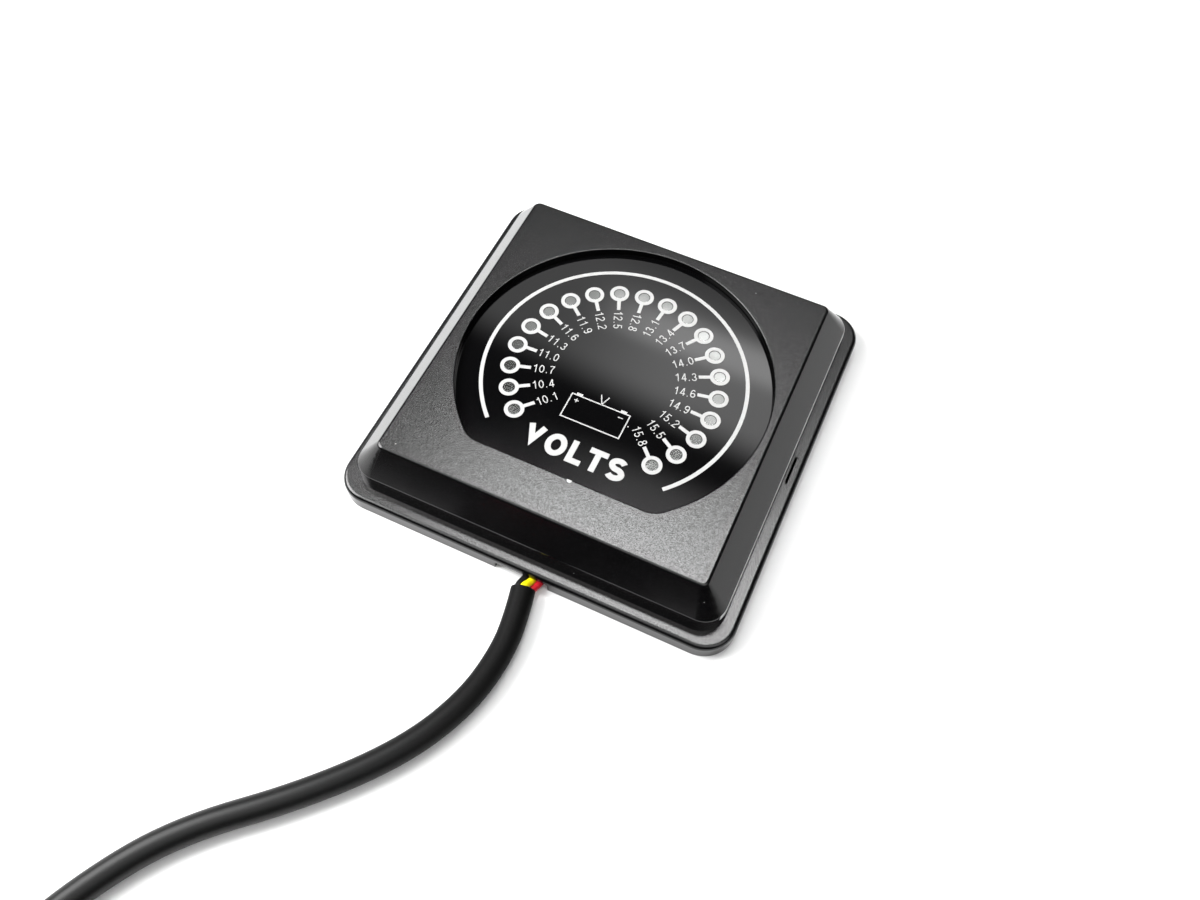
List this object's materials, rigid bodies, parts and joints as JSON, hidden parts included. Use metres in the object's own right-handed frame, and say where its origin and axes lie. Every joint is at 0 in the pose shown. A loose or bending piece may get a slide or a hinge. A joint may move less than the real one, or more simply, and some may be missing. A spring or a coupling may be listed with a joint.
{
  "type": "battery voltmeter display head",
  "caption": "Square surface-mount battery voltmeter head: flanged black case, D-shaped gloss dial with an arc of LED voltage steps, and a three-core lead.",
  "frame": {"origin": "middle of the case's flat back, on the surface it lies on", "axes": "+Z out of the dial, +Y towards the top of the dial, the lead leaves towards -Y"},
  "size_m": [0.1026, 0.2619, 0.0208],
  "materials": {
    "case_black": "injection-moulded black ABS: fine spark-eroded grain on the flat faces, smooth satin on the chamfers",
    "seal_black": "thin black adhesive foam ring",
    "dial_black": "high-gloss black polycarbonate sheet",
    "dial_print": "white screen-printed ink on the dial",
    "holder_black": "black moulded nylon",
    "led_epoxy": "flat-topped LED epoxy, unlit, silvery grey",
    "board_green": "green solder mask on glass-epoxy laminate",
    "chip_black": "black moulded epoxy package",
    "resistor_black": "chip resistor body",
    "ceramic_tan": "ceramic chip capacitor body",
    "capacitor_can": "bare aluminium capacitor can",
    "screw_steel": "zinc-plated steel",
    "solder": "tin solder and tinned copper",
    "wire_black": "black PVC core insulation",
    "wire_yellow": "yellow PVC core insulation",
    "wire_red": "red PVC core insulation",
    "jacket_black": "black PVC cable jacket, matte with a soft sheen",
    "tie_nylon": "black nylon cable tie"
  },
  "bodies": {
    "root": {"base_tray": "case_black", "top_cover": "case_black", "panel_seal": "seal_black", "dial_panel": "dial_black", "led_holder": "holder_black", "circuit_board": "board_green", "board_screws": "screw_steel", "microcontroller": "chip_black", "led_driver": "chip_black", "voltage_regulator": "chip_black", "input_capacitor": "capacitor_can", "protection_diode": "chip_black", "resistors": "resistor_black", "ceramic_capacitors": "ceramic_tan", "solder_joints": "solder", "wire_black": "wire_black", "wire_yellow": "wire_yellow", "wire_red": "wire_red", "cable_jacket": "jacket_black", "cable_coil": "jacket_black", "cable_end": "jacket_black", "coil_tie": "tie_nylon", "tail_black": "wire_black", "tail_yellow": "wire_yellow", "tail_red": "wire_red", "tinned_ends": "solder", "led_01": "led_epoxy", "led_02": "led_epoxy", "led_03": "led_epoxy", "led_04": "led_epoxy", "led_05": "led_epoxy", "led_06": "led_epoxy", "led_07": "led_epoxy", "led_08": "led_epoxy", "led_09": "led_epoxy", "led_10": "led_epoxy", "led_11": "led_epoxy", "led_12": "led_epoxy", "led_13": "led_epoxy", "led_14": "led_epoxy", "led_15": "led_epoxy", "led_16": "led_epoxy", "led_17": "led_epoxy", "led_18": "led_epoxy", "led_19": "led_epoxy", "led_20": "led_epoxy"}
  },
  "joints": []
}
